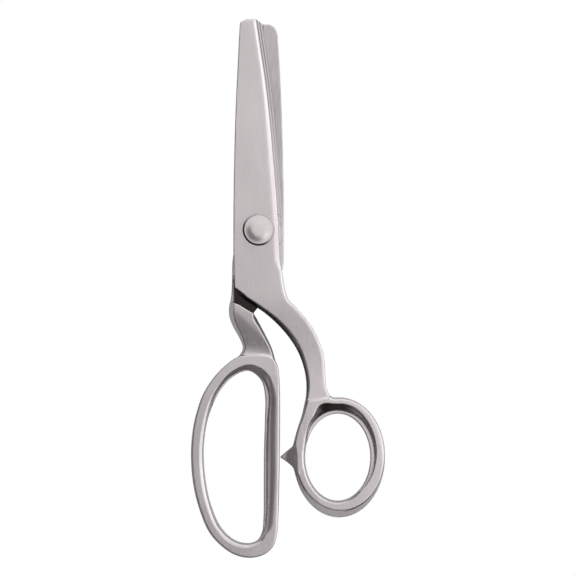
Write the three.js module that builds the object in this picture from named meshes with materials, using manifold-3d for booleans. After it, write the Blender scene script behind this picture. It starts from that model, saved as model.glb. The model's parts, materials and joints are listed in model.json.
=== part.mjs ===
// Pinking shears in stainless steel, closed and lying flat.
// Millimetres. +Z is up along the pivot screw, +Y points to the tips and the
// thumb ring is on the +X side. Shapes are drawn about the pivot axis, with
// z = 0 at the plane where the two halves slide on each other.
import * as THREE from 'three';
import { mergeVertices } from 'three/addons/utils/BufferGeometryUtils.js';
import Module from 'manifold-3d';

const wasm = await Module();
wasm.setup();

// ---- driving dimensions ----------------------------------------------------
const SHEAR_PLANE_HEIGHT = 8.5; // above the surface the shears lie on
const ORIGIN_SHIFT = [-12.5, 25.6]; // pivot's place from the middle of the outline
const HALF_GAP = 0.2; // each half stays this far from the shear plane
const FIT_GAP = 0.1; // between pieces that are fastened together

const BLADE_THICKNESS = 4; // at the pivot
const TIP_THICKNESS = 2.9;
const UPPER_TIP = 91.8; // distance from the pivot to the blade's end
const LOWER_TIP = 89.6;
const BEVEL_WIDTH = 2.1;
const BEVEL_FOOT = 2.1; // height of the bevel's outer edge over the shear plane
const HOLLOW_DEPTH = 1.3; // relief of the blade's inner face behind the teeth
const HOLLOW_START = 1.5; // the relief begins this far in front of the pivot
const RIDE_RADIUS = 9.5; // flat round the pivot where the halves bear

const STRIP_LEDGE = 2; // how far the toothed strip stands out past the bevel
const STRIP_WIDTH = 4.8;
const STRIP_TOP = 1.5;
const STRIP_FIRST_RADIUS = 11;
const TOOTH_PITCH = 3;
const TOOTH_HEIGHT = 0.75; // above and below the shear plane
const TOOTH_CLEARANCE = 0.2; // each strip's share of the gap between the teeth

const SCREW_RADIUS = 4;
const SCREW_CLEARANCE = 0.06;
const THREAD_RADIUS = 3;
const HEAD_RADIUS = 7;
const HEAD_HEIGHT = 2.8;
const HEAD_FLAT_RADIUS = 2.2;
const DOME_RADIUS = 6.4;
const DOME_HEIGHT = 0.5;
const BEARING_RADIUS = 7;
const BEARING_THICKNESS = 1.6;
const NUT_ACROSS_FLATS = 10;
const NUT_HEIGHT = 2.6;
const SPRING_WASHER = { radius: 5, thickness: 0.9, gapAngle: 0.25 };
const FLAT_WASHER = { radius: 6, thickness: 0.8 };
const ROUND_STEPS = 48;

const REST_LEVEL = -SHEAR_PLANE_HEIGHT;
const FOOT_SOFTENING = 1.2; // the handles' lower edges draw in by this much
const FOOT_HEIGHT = 2.5; // over this height
const RING_STEPS = 64;
const BOW_STEPS = 96;
const FAR = 20; // cutters reach this far past what they cut
const BOW_TOP = 2.5;
const RING_TOP = 3;
const SHANK_TOP = 3.6; // top of the lower half's raised shank

// ---- materials -------------------------------------------------------------
function metal(color, roughness) {
  return new THREE.MeshStandardMaterial({ color, roughness, metalness: 1 });
}
const bladeSteel = metal(0xbfbaba, 0.35);
const toothSteel = metal(0xa9a6a6, 0.4);
const polishedSteel = metal(0xc9c7c6, 0.2);
const bronze = metal(0xb08d57, 0.4);

// ---- outlines, drawn about the pivot ----------------------------------------
// The bevel's outer edge on the upper half, from the heel to the tip.
const EDGE_LINE = [
  [9.2, -12], [8.5, 4], [6.8, 26], [4.9, 48], [3.0, 65], [0.4, 82.7], [-0.9, 91.8],
];
// The back of the blade, from the tip to the heel; the lower half mirrors it.
const SPINE_LINE = [
  [-8.3, 88.5], [-9.1, 74], [-10, 53], [-10.6, 32], [-10.95, 10], [-11, -12],
];
// The upper half's tang and shank: inner side down to the ring, outer side back.
// Both start and end a little inside the blade.
const UPPER_INNER_SIDE = [
  [-10, -7], [-10.95, -12.3], [-10.8, -19], [-10.5, -25.4], [-6.6, -30], [-1.5, -33.5], [4.5, -37.8],
  [11.5, -44.8], [16.4, -51.8], [19.3, -58.8], [20.7, -65.7], [20.6, -72.7], [19.3, -79.7],
  [17.6, -86.7], [16, -93.7],
];
const UPPER_CORNER = 3; // index of the tang's sharp lower left corner
const UPPER_OUTER_SIDE = [
  [31.5, -73.5], [29.6, -69], [29.1, -64], [28.5, -55.3], [26.3, -48.3], [22.5, -41.3],
  [16.8, -34.4], [13, -30.4], [11.4, -26.5], [10.5, -20], [9.5, -13], [8.6, -8],
];
// Beyond this line the upper half's shank reaches down below the shear plane.
const UPPER_STEP = [[16, -15.7], [-2, -43.8]];
// The lower half's tang and shank: left side down to the bow, right side back.
const LOWER_LEFT_SIDE = [
  [-8.8, -6], [-10.8, -10], [-11.5, -15], [-11.6, -21], [-12, -29], [-13, -34.6], [-12.6, -38.5],
  [-11, -42.6], [-8.2, -47.6], [-6.9, -51.8], [-8.8, -55.5],
];
const LOWER_RIGHT_SIDE = [
  [8.5, -64], [7.7, -60], [7, -56], [5.8, -51.8], [2.4, -44.8], [-1.1, -38.3], [-2.3, -36.4],
  [-0.1, -33.7],
  [10.6, -17], [11, -13.4], [10.9, -12.3], [10, -6],
];
const LOWER_CORNER = 5; // index where its right side stops being smooth
// Where the lower half steps up from its tang to its raised shank.
const LOWER_STEP = [[2, -38.4], [-2.3, -36.2], [-5, -34.7], [-8.1, -32.7], [-12.3, -31], [-18, -30.4]];
// Stop spike on the ring that lands against the finger bow.
const SPIKE = [
  [16.8, -90.4], [15.3, -93.8], [12.9, -96.1], [9.3, -99.2], [12.9, -101.7], [15.4, -104.2],
  [16.7, -107.2], [20, -99],
];

// Finger bow: outside, and the hole where it is narrowest and at the top face.
const BOW_OUTSIDE = [
  [-9.4, -55.6], [-17.8, -62.3], [-23.9, -71], [-27.1, -79.7], [-28.9, -88.5],
  [-29.5, -98.9], [-28.5, -111], [-25.8, -122], [-21.6, -131.8], [-16.5, -137.6],
  [-10.5, -141.6], [-3.7, -143], [2.5, -141.5], [6.4, -137.9], [8.1, -132], [8.6, -125],
  [9.1, -104], [9.3, -87], [9.3, -72], [8.9, -63], [8, -58.6], [5.6, -55.6],
  [2, -54.6], [-3.5, -54.5],
];
const BOW_HOLE = [
  [-5.3, -61.5], [-12, -64.7], [-17.3, -71], [-20.6, -78], [-22.8, -85.5], [-24, -97],
  [-22.9, -111], [-20.3, -121.5], [-16.3, -130], [-10.8, -135.2], [-5.2, -136.8],
  [-0.9, -135.7], [1.4, -132], [2.1, -125], [2.2, -111], [2.3, -97], [2.7, -83],
  [2.8, -73], [1.4, -66.3], [-2, -62.6],
];
const BOW_HOLE_TOP = [
  [-5, -59], [-12.5, -62.5], [-18.2, -69.5], [-21.7, -77], [-24.1, -85.5], [-25.4, -97],
  [-24.4, -111], [-21.7, -121.8], [-17.4, -131], [-11.4, -136.4], [-5, -138],
  [0.8, -136.8], [3.9, -132.5], [5.2, -125], [6, -111], [6.2, -97], [6.4, -83],
  [6.3, -72], [4.6, -64.3], [0.5, -60.3],
];
// Thumb ring: ellipses, whose axis leans because the ring's walls are drafted.
const RING_OUTSIDE = { x: 35.1, y: -99.3, halfWidth: 20, halfHeight: 26.2 };
const RING_OUTSIDE_TOP = { x: 35.5, y: -97.8, halfWidth: 19.6, halfHeight: 24.5 };
const RING_HOLE = { x: 34.5, y: -99.2, halfWidth: 14.2, halfHeight: 19 };
const RING_HOLE_TOP = { x: 35.1, y: -97, halfWidth: 16.5, halfHeight: 21.1 };

// ---- outline helpers ---------------------------------------------------------
function smooth(points, stepsPerPoint = 3) {
  const curve = new THREE.CatmullRomCurve3(
    points.map(([x, y]) => new THREE.Vector3(x, y, 0)), false, 'centripetal',
  );
  return curve.getPoints((points.length - 1) * stepsPerPoint).map((p) => [p.x, p.y]);
}

function closedCurve(points, steps) {
  const curve = new THREE.CatmullRomCurve3(
    points.map(([x, y]) => new THREE.Vector3(x, y, 0)), true, 'centripetal',
  );
  return curve.getSpacedPoints(steps).slice(0, steps).map((p) => [p.x, p.y]);
}

function ellipse({ x, y, halfWidth, halfHeight }, steps) {
  return Array.from({ length: steps }, (_, i) => {
    const angle = (2 * Math.PI * i) / steps;
    return [x + halfWidth * Math.cos(angle), y + halfHeight * Math.sin(angle)];
  });
}

// The same ellipse with its outline moved out by a distance.
function grown(shape, distance) {
  const { halfWidth, halfHeight } = shape;
  return { ...shape, halfWidth: halfWidth + distance, halfHeight: halfHeight + distance };
}

function circle(radius, steps = ROUND_STEPS) {
  return ellipse({ x: 0, y: 0, halfWidth: radius, halfHeight: radius }, steps);
}

// Signed area: positive when the outline runs anticlockwise.
function area(outline) {
  return THREE.ShapeUtils.area(outline.map(([x, y]) => new THREE.Vector2(x, y)));
}

// The same outline moved inwards by a distance, point by point.
function inset(outline, distance) {
  const turn = Math.sign(area(outline));
  return outline.map(([x, y], i) => {
    const [px, py] = outline[(i + outline.length - 1) % outline.length];
    const [nx, ny] = outline[(i + 1) % outline.length];
    const length = Math.hypot(nx - px, ny - py);
    return [x - (turn * distance * (ny - py)) / length, y + (turn * distance * (nx - px)) / length];
  });
}

// x of the line through the points, at a given y.
function lineAt(points, y) {
  const sorted = [...points].sort((a, b) => a[1] - b[1]);
  let i = 1;
  while (i < sorted.length - 1 && sorted[i][1] < y) i += 1;
  const [x0, y0] = sorted[i - 1];
  const [x1, y1] = sorted[i];
  return x0 + ((x1 - x0) * (y - y0)) / (y1 - y0);
}

// ---- solid helpers -----------------------------------------------------------
function toSolid(vertices, triangles) {
  return new wasm.Manifold(new wasm.Mesh({
    numProp: 3,
    vertProperties: new Float32Array(vertices.flat()),
    triVerts: new Uint32Array(triangles.flat()),
  }));
}

function inThrees(numbers) {
  return Array.from({ length: numbers.length / 3 }, (_, i) => Array.from(numbers.slice(3 * i, 3 * i + 3)));
}

function facesOf(solid) {
  const { vertProperties, triVerts } = solid.getMesh();
  return { vertices: inThrees(vertProperties), triangles: inThrees(triVerts) };
}

function signedVolume(vertices, triangles) {
  return triangles.reduce((sum, [a, b, c]) => {
    const [p, q, r] = [a, b, c].map((i) => new THREE.Vector3(...vertices[i]));
    return sum + p.dot(q.cross(r)) / 6;
  }, 0);
}

// Faces that fill a flat ring, whose two coordinates in its plane flat gives.
function earFaces(flat) {
  return (ring) => {
    const points = ring.map((p) => new THREE.Vector2(...flat(p)));
    const faces = THREE.ShapeUtils.triangulateShape(points, []);
    const covered = faces.reduce(
      (sum, face) => sum + THREE.ShapeUtils.area(face.map((i) => points[i])), 0,
    );
    const backwards = covered * THREE.ShapeUtils.area(points) < 0;
    return backwards ? faces.map((face) => [...face].reverse()) : faces;
  };
}

// Faces that fill a ring whose second half runs back along its first half.
function ladderFaces(ring) {
  const faces = [];
  for (let i = 0; i + 1 < ring.length / 2; i += 1) {
    const across = ring.length - 1 - i;
    faces.push([i, i + 1, across - 1], [i, across - 1, across]);
  }
  return faces;
}

// Solid through a row of rings with equally many [x, y, z] points.
function skin(rings, endFaces) {
  const count = rings[0].length;
  const last = (rings.length - 1) * count;
  const vertices = rings.flat();
  const triangles = [
    ...endFaces(rings[0]).map(([a, b, c]) => [c, b, a]),
    ...endFaces(rings.at(-1)).map((face) => face.map((i) => last + i)),
  ];
  for (let a = 0; a < last; a += 1) {
    const b = (a + 1) % count === 0 ? a + 1 - count : a + 1;
    triangles.push([a, b, b + count], [a, b + count, a + count]);
  }
  if (signedVolume(vertices, triangles) < 0) {
    triangles.forEach((triangle) => triangle.reverse());
  }
  return toSolid(vertices, triangles);
}

function loft(levels) {
  return skin(
    levels.map(([outline, z]) => outline.map(([x, y]) => [x, y, z])),
    earFaces(([x, y]) => [x, y]),
  );
}

function prism(outline, low, high) {
  return loft([[outline, low], [outline, high]]);
}

// A block right across the shears whose side view is the given [y, z] profile.
function across(profile) {
  const reach = 90;
  return skin(
    [-reach, reach].map((x) => profile.map(([y, z]) => [x, y, z])),
    earFaces(([, y, z]) => [y, z]),
  );
}

// Turned shape from an [r, z] profile that closes on itself or on the axis.
function turned(profile) {
  const lathe = new THREE.LatheGeometry(profile.map(([r, z]) => new THREE.Vector2(r, z)), ROUND_STEPS);
  lathe.rotateX(Math.PI / 2);
  lathe.deleteAttribute('normal');
  lathe.deleteAttribute('uv');
  const merged = mergeVertices(lathe, 1e-4);
  const vertices = inThrees(merged.getAttribute('position').array);
  const triangles = inThrees(merged.index.array).filter(([a, b, c]) => a !== b && b !== c && a !== c);
  if (signedVolume(vertices, triangles) < 0) triangles.forEach((t) => t.reverse());
  return toSolid(vertices, triangles);
}

// Round hole through everything: its flats stay outside the stated radius.
function hole(radius, low, high) {
  return prism(circle(radius / Math.cos(Math.PI / ROUND_STEPS)), low, high);
}

// Half a turn about the shears' length: the upper half's place to the lower's.
function turnedOver(solid) {
  const { vertices, triangles } = facesOf(solid);
  return toSolid(vertices.map(([x, y, z]) => [-x, y, -z]), triangles);
}

function mesh(name, solid, material) {
  const { vertices, triangles } = facesOf(solid);
  const geometry = new THREE.BufferGeometry();
  geometry.setAttribute('position', new THREE.Float32BufferAttribute(vertices.flat(), 3));
  geometry.setIndex(triangles.flat());
  geometry.computeVertexNormals();
  const node = new THREE.Mesh(geometry, material);
  node.name = name;
  return node;
}

// ---- blades --------------------------------------------------------------------
const STATIONS = [...EDGE_LINE.slice(0, -1).map(([, y]) => y), UPPER_TIP + 4];

function topHeight(y) {
  const taper = THREE.MathUtils.clamp(y / UPPER_TIP, 0, 1.1);
  return BLADE_THICKNESS + (TIP_THICKNESS - BLADE_THICKNESS) * taper;
}

// Cutter that grinds the bevel along the cutting edge.
function bevelCutter() {
  const outside = 6; // the cutter's reach past the edge and over the top
  const above = 3;
  return skin(
    STATIONS.map((y) => {
      const edge = lineAt(EDGE_LINE, y);
      const top = topHeight(y);
      const slope = (top - BEVEL_FOOT) / BEVEL_WIDTH;
      return [
        [edge - BEVEL_WIDTH - above / slope, y, top + above],
        [edge + outside, y, top + above],
        [edge + outside, y, BEVEL_FOOT - outside * slope],
      ];
    }),
    earFaces(([x, , z]) => [x, z]),
  );
}

// Cutter along the inner face: from the strip's back edge out past the edge.
function rabbetCutter(backOffset, ceiling) {
  return skin(
    [HOLLOW_START, ...STATIONS.slice(1)].map((y) => {
      const edge = lineAt(EDGE_LINE, y);
      const back = edge + STRIP_LEDGE - STRIP_WIDTH - backOffset;
      const front = edge + FAR / 4;
      return [[back, y, -1], [front, y, -1], [front, y, ceiling], [back, y, ceiling]];
    }),
    ladderFaces,
  );
}

// One blade in the upper half's position, from the heel to the tip.
function blade(tip) {
  const corner = 2.6; // width of the rounded corner at the end of the spine
  const [spineX] = SPINE_LINE[0];
  const outline = [
    ...smooth(EDGE_LINE.slice(0, -1)),
    [lineAt(EDGE_LINE, tip), tip],
    [spineX + corner, tip],
    [spineX + corner / 5, tip - corner * 0.45],
    ...smooth([[spineX, tip - corner * 1.3], ...SPINE_LINE.slice(1)]),
  ];
  const end = UPPER_TIP + FAR;
  const hollow = prism(
    [[-FAR, HOLLOW_START], [FAR, HOLLOW_START], [FAR, end], [-FAR, end]], -1, HOLLOW_DEPTH,
  ).subtract(prism(circle(RIDE_RADIUS), -FAR, FAR));
  const aboveTop = across([
    [0, BLADE_THICKNESS], [UPPER_TIP, TIP_THICKNESS], [end, TIP_THICKNESS], [end, FAR], [0, FAR],
  ]);
  const rabbet = rabbetCutter(FIT_GAP, STRIP_TOP + FIT_GAP)
    .subtract(prism(circle(STRIP_FIRST_RADIUS - 4 * FIT_GAP), -FAR, FAR));
  return prism(outline, HALF_GAP, BLADE_THICKNESS)
    .subtract(aboveTop).subtract(bevelCutter()).subtract(hollow).subtract(rabbet);
}

// Zigzag of the teeth by distance from the pivot, from -1 to 1.
function toothWave(radius) {
  const phase = (((radius - STRIP_FIRST_RADIUS) / TOOTH_PITCH) % 1 + 1) % 1;
  return phase < 0.5 ? 4 * phase - 1 : 3 - 4 * phase;
}

// Angle at which a line parallel to the cutting edge crosses a circle round the pivot.
function angleOnLine(radius, offset) {
  let y = radius;
  for (let pass = 0; pass < 12; pass += 1) {
    const x = lineAt(EDGE_LINE, y) + offset;
    y = Math.sqrt(Math.max(radius * radius - x * x, 0));
  }
  return Math.atan2(y, lineAt(EDGE_LINE, y) + offset);
}

// Toothed strip in the upper half's position. The ridges are arcs about the
// pivot, so one strip's ridges run along the other's grooves as the shears turn.
function toothedStrip(tip, direction) {
  const columns = 5;
  const rings = [];
  const lastRadius = tip - TOOTH_PITCH / 4;
  for (let radius = STRIP_FIRST_RADIUS; radius < lastRadius; radius += TOOTH_PITCH / 2) {
    const outer = angleOnLine(radius, STRIP_LEDGE);
    const inner = angleOnLine(radius, STRIP_LEDGE - STRIP_WIDTH);
    const face = TOOTH_CLEARANCE + direction * TOOTH_HEIGHT * toothWave(radius);
    const row = Array.from({ length: columns }, (_, i) => {
      const angle = outer + ((inner - outer) * i) / (columns - 1);
      return [radius * Math.cos(angle), radius * Math.sin(angle)];
    });
    rings.push([
      ...row.map(([x, y]) => [x, y, face]),
      ...row.reverse().map(([x, y]) => [x, y, STRIP_TOP]),
    ]);
  }
  return skin(rings, ladderFaces);
}

// ---- handles -------------------------------------------------------------------
const RECESS_FLOOR = -1.6;
const SHANK_END = BOW_TOP - 0.2; // the lower shank's top where it meets the bow
const WALL_FOOT = -2.5; // where the drafted upper walls of the handles begin
const BELLY_LEVEL = REST_LEVEL + 0.8; // underside of the shanks where they meet the rings

function upperShank() {
  const outline = [
    ...smooth(UPPER_INNER_SIDE.slice(0, UPPER_CORNER + 1)),
    ...smooth(UPPER_INNER_SIDE.slice(UPPER_CORNER)).slice(1),
    [34, -95],
    ...smooth(UPPER_OUTER_SIDE),
  ];
  const underTang = prism([...UPPER_STEP, [-40, -43.8], [-40, 5], [16, 5]], -FAR, HALF_GAP);
  const overShank = across([
    [-30, BLADE_THICKNESS], [-78, RING_TOP - 0.6], [-130, RING_TOP - 1.5], [-130, FAR], [-30, FAR],
  ]);
  const underShank = across([
    [-15, -1], [-40, -5], [-74, BELLY_LEVEL], [-130, BELLY_LEVEL], [-130, -FAR], [-15, -FAR],
  ]);
  return prism(outline, REST_LEVEL, BLADE_THICKNESS)
    .subtract(underTang).subtract(overShank).subtract(underShank);
}

function thumbRing() {
  return loft([
    [ellipse(grown(RING_OUTSIDE, -FOOT_SOFTENING), RING_STEPS), REST_LEVEL],
    [ellipse(RING_OUTSIDE, RING_STEPS), REST_LEVEL + FOOT_HEIGHT],
    [ellipse(RING_OUTSIDE, RING_STEPS), WALL_FOOT],
    [ellipse(RING_OUTSIDE_TOP, RING_STEPS), RING_TOP],
  ]);
}

function thumbHole() {
  const foot = ellipse(grown(RING_HOLE, FOOT_SOFTENING), RING_STEPS);
  const waist = ellipse(RING_HOLE, RING_STEPS);
  const mouth = ellipse(RING_HOLE_TOP, RING_STEPS);
  return loft([
    [foot, REST_LEVEL - 1], [foot, REST_LEVEL], [waist, REST_LEVEL + FOOT_HEIGHT],
    [waist, WALL_FOOT], [mouth, RING_TOP], [mouth, FAR],
  ]);
}

function lowerShank() {
  const outline = [
    ...smooth(LOWER_LEFT_SIDE), [-6, -60], [4, -63],
    ...smooth(LOWER_RIGHT_SIDE.slice(0, LOWER_CORNER + 1)),
    ...LOWER_RIGHT_SIDE.slice(LOWER_CORNER + 1),
  ];
  const overTang = prism([[5, -36], [-20, -28.6], [-20, 5], [20, 5]], -HALF_GAP, FAR);
  // The hollow in front of the step runs a little under the upper half's edge.
  const recess = prism([
    ...LOWER_STEP, [-18, -24], [-9, -24], [-4, -28.4], [1, -31.8], [3, -34.5],
  ], RECESS_FLOOR, FAR);
  const overShank = across([
    [-30, SHANK_TOP], [-57, SHANK_END], [-70, SHANK_END], [-70, FAR], [-30, FAR],
  ]);
  const underShank = across([
    [5, -BLADE_THICKNESS], [-26, -BLADE_THICKNESS], [-58, BELLY_LEVEL], [-70, BELLY_LEVEL],
    [-70, -FAR], [5, -FAR],
  ]);
  return prism(outline, REST_LEVEL, SHANK_TOP)
    .subtract(overTang).subtract(recess).subtract(overShank).subtract(underShank);
}

function fingerBow() {
  const outside = closedCurve(BOW_OUTSIDE, BOW_STEPS);
  const chamfer = 1;
  return loft([
    [inset(outside, FOOT_SOFTENING), REST_LEVEL],
    [outside, REST_LEVEL + FOOT_HEIGHT],
    [outside, BOW_TOP - chamfer],
    [inset(outside, chamfer), BOW_TOP],
  ]);
}

function fingerHole() {
  const waist = closedCurve(BOW_HOLE, BOW_STEPS);
  const foot = inset(waist, -FOOT_SOFTENING);
  const mouth = closedCurve(BOW_HOLE_TOP, BOW_STEPS);
  return loft([
    [foot, REST_LEVEL - 1], [foot, REST_LEVEL], [waist, REST_LEVEL + FOOT_HEIGHT],
    [waist, WALL_FOOT], [mouth, BOW_TOP], [mouth, FAR],
  ]);
}

// ---- the two halves ---------------------------------------------------------------
const SPIKE_TOP = 0;
const SPIKE_FOOT = -6.5;
const bearingPocket = BEARING_THICKNESS / 2 + FIT_GAP;

function pocket() {
  return hole(BEARING_RADIUS + FIT_GAP, -bearingPocket, bearingPocket);
}

function upperHalf() {
  return blade(UPPER_TIP)
    .add(upperShank())
    .add(prism(SPIKE, SPIKE_FOOT, SPIKE_TOP))
    .add(thumbRing())
    .subtract(thumbHole())
    .subtract(pocket())
    .subtract(hole(SCREW_RADIUS + SCREW_CLEARANCE, -FAR, FAR));
}

function lowerHalf() {
  return turnedOver(blade(LOWER_TIP))
    .add(lowerShank())
    .add(fingerBow())
    .subtract(fingerHole())
    .subtract(pocket())
    .subtract(hole(SCREW_RADIUS + SCREW_CLEARANCE, -FAR, FAR));
}

// ---- pivot fastening ----------------------------------------------------------------
const headSeat = BLADE_THICKNESS + FIT_GAP;
const washerTop = -BLADE_THICKNESS - FIT_GAP;
const springTop = washerTop - FLAT_WASHER.thickness - FIT_GAP;
const nutTop = REST_LEVEL + NUT_HEIGHT;

function pivotScrew() {
  const end = REST_LEVEL + 0.3;
  const top = headSeat + HEAD_HEIGHT;
  const halfWay = (DOME_RADIUS + HEAD_FLAT_RADIUS) / 2;
  return turned([
    [0, end], [THREAD_RADIUS - 0.4, end], [THREAD_RADIUS, end + 0.4],
    [THREAD_RADIUS, washerTop + 0.2], [SCREW_RADIUS, washerTop + 0.2],
    [SCREW_RADIUS, headSeat], [HEAD_RADIUS, headSeat], [DOME_RADIUS, top - DOME_HEIGHT],
    [halfWay, top - DOME_HEIGHT / 2], [HEAD_FLAT_RADIUS, top], [0, top],
  ]);
}

function washer(outer, inner, low, high) {
  return prism(circle(outer), low, high).subtract(hole(inner, low - 1, high + 1));
}

function springWasher() {
  const { radius, thickness, gapAngle } = SPRING_WASHER;
  const cut = [[0, 0], [radius * 2, -radius * gapAngle], [radius * 2, radius * gapAngle]];
  return washer(radius, THREAD_RADIUS + FIT_GAP, springTop - thickness, springTop)
    .subtract(prism(cut, springTop - 2 * thickness, springTop + thickness));
}

function pivotNut() {
  const corner = NUT_ACROSS_FLATS / 2 / Math.cos(Math.PI / 6);
  const chamfer = turned([
    [0, REST_LEVEL], [NUT_ACROSS_FLATS / 2, REST_LEVEL],
    [corner, REST_LEVEL + 0.45], [corner, nutTop], [0, nutTop],
  ]);
  return prism(circle(corner, 6), REST_LEVEL, nutTop)
    .intersect(chamfer)
    .subtract(hole(THREAD_RADIUS + FIT_GAP, REST_LEVEL - 1, nutTop + 1));
}

// ---- the assembly --------------------------------------------------------------------
const bearing = washer(
  BEARING_RADIUS, SCREW_RADIUS + SCREW_CLEARANCE, -BEARING_THICKNESS / 2, BEARING_THICKNESS / 2,
);
const flatWasher = washer(
  FLAT_WASHER.radius, THREAD_RADIUS + FIT_GAP, washerTop - FLAT_WASHER.thickness, washerTop,
);

const upper = new THREE.Group();
upper.name = 'upper';
upper.add(
  mesh('upper_half', upperHalf(), bladeSteel),
  mesh('upper_toothed_strip', toothedStrip(UPPER_TIP, 1), toothSteel),
);

const lower = new THREE.Group();
lower.name = 'lower';
lower.add(
  mesh('lower_half', lowerHalf(), bladeSteel),
  mesh('lower_toothed_strip', turnedOver(toothedStrip(LOWER_TIP, -1)), toothSteel),
  mesh('pivot_screw', pivotScrew(), polishedSteel),
  mesh('bearing_washer', bearing, bronze),
  mesh('flat_washer', flatWasher, polishedSteel),
  mesh('spring_washer', springWasher(), polishedSteel),
  mesh('pivot_nut', pivotNut(), polishedSteel),
);

const shears = new THREE.Group();
shears.name = 'pinking_shears';
shears.position.set(...ORIGIN_SHIFT, SHEAR_PLANE_HEIGHT);
shears.add(lower, upper);

export default shears;
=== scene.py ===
"""Pinking shears: the visible model, its materials, a plain studio and the camera.

Lengths are in millimetres about the pivot, with z = 0 at the plane where the two
halves slide on each other, until a mesh is made; to_row() then puts a point in
the row frame, in metres.
"""

import json
import math

import bmesh
import bpy
import numpy as np
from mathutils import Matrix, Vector


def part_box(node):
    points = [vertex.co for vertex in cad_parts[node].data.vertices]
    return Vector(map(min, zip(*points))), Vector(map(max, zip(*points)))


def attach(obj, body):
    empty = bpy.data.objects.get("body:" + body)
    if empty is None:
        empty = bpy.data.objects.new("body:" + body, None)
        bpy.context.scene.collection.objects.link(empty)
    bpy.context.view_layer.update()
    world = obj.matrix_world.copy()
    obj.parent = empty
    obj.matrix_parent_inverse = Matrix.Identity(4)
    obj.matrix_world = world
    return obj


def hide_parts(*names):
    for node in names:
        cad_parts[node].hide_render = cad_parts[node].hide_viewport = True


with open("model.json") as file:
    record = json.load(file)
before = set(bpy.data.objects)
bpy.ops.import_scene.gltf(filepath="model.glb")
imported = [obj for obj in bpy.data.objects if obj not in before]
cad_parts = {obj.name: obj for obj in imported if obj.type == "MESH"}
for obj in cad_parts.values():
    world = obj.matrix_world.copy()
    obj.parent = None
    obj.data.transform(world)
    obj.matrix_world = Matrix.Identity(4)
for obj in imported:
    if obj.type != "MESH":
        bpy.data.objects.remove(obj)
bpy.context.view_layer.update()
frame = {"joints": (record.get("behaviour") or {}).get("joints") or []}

MM = 0.001
# The mesh attribute that says how much painted shade darkens a point towards near black, 0 to 1.
PAINTED_SHADE_ATTRIBUTE = "painted_shade"
PIVOT = Vector(frame["joints"][0]["pos_m"])


def to_row(points):
    """Points in mm about the pivot, in the row frame's metres."""
    return np.asarray(points, float) * MM + np.array(PIVOT)


# ---- driving dimensions, mm ---------------------------------------------------------------
GRID_STEP = 0.37
GRID_MARGIN = 1.2
WELD_DISTANCE = 1e-7  # metres
HALF_GAP = 0.1

BLADE_THICKNESS = 4.0
TIP_THICKNESS = 2.9
UPPER_TIP = 91.8
LOWER_TIP = 89.6
BEVEL_WIDTH = 2.3
TIP_BEVEL_WIDTH = 1.6
BEVEL_DROP = 0.95
BEVEL_END = -26.0
TIP_CHAMFER = 1.2
TIP_SLOPE = 0.3
RIM_WIDTH = 0.75
RIM_SLOPE = 0.6
HOLLOW_DEPTH = 1.3
HOLLOW_START = 1.5
RIDE_RADIUS = 9.5

STRIP_LEDGE = 2.0
STRIP_WIDTH = 4.8
STRIP_STEP = 1.1
STRIP_TIP_NARROWING = 1.6
STRIP_TOP = 1.5
STRIP_FIRST_RADIUS = 11.0
TOOTH_PITCH = 3.0
TOOTH_HEIGHT = 0.75
TOOTH_CLEARANCE = 0.15
TIP_SLANT = 0.85

SCREW_RADIUS = 4.0
THREAD_RADIUS = 3.0
HEAD_RADIUS = 7.0
DOME_RADIUS = 6.2
HEAD_HEIGHT = 2.8
DOME_HEIGHT = 0.54
BEARING_RADIUS = 7.0
BEARING_THICKNESS = 1.6
BEARING_PLAY = 0.12
FLAT_WASHER_RADIUS = 6.0
FLAT_WASHER_THICKNESS = 0.8
SPRING_WASHER_RADIUS = 5.0
SPRING_WASHER_THICKNESS = 0.9
NUT_ACROSS_FLATS = 10.0
NUT_HEIGHT = 2.6
FIT_GAP = 0.1

REST_LEVEL = -PIVOT.z / MM
BOW_TOP = 2.5
RING_TOP = 3.0
SHANK_TOP = 3.6
RECESS_FLOOR = -1.6
BOW_SHELF = -1.9
RING_SHELF = -0.4
BELLY_LEVEL = REST_LEVEL + 0.8
FOOT_HEIGHT = 2.8
FOOT_INSET = 1.4
FOOT_ROUNDING = 0.8
HOLE_FLARE = 1.6
HOLE_FLARE_HEIGHT = 3
SPIKE_TIP_TOP = -1.2
SPIKE_SLOPE = 0.56
SPIKE_BOTTOM = -6

HEAD_SEAT = BLADE_THICKNESS + FIT_GAP
WASHER_TOP = -BLADE_THICKNESS - FIT_GAP
SPRING_TOP = WASHER_TOP - FLAT_WASHER_THICKNESS - FIT_GAP
NUT_TOP = REST_LEVEL + NUT_HEIGHT

# FAR taken off a field, or NO_CUT added to it or put in its place, keeps it from cutting there.
FAR = 20
NO_CUT = -9

# ---- outlines, mm about the pivot ---------------------------------------------------------
EDGE_LINE = [
    (11.6, -26.5), (10.4, -19.5), (9.2, -12), (8.5, 4), (6.8, 26), (4.9, 48), (3.0, 65),
    (0.4, 82.7), (-0.9, 91.8),
]
SPINE_LINE = [(-9.0, 74), (-10, 53), (-10.6, 32), (-10.95, 10), (-11, -8)]
UPPER_CORNER = [(-1.2, 91.8), (-5.6, 91.6), (-7.9, 90.4), (-8.25, 89)]
LOWER_CORNER = [(-1.2, 89.6), (-4.8, 89.5), (-6.6, 88.5), (-7.7, 86.9), (-8.25, 85)]
UPPER_TANG_SIDE = [(-11, -8), (-10.8, -18), (-10.5, -25.4)]
UPPER_INNER_SIDE = [
    (-10.5, -25.4), (-6.6, -30), (-1.5, -33.5), (4.5, -37.8), (11.5, -44.8), (16.4, -51.8),
    (19.3, -58.8), (20.7, -65.7), (20.6, -72.7), (19.3, -79.7), (17.6, -86.7), (16, -93.7),
]
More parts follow.
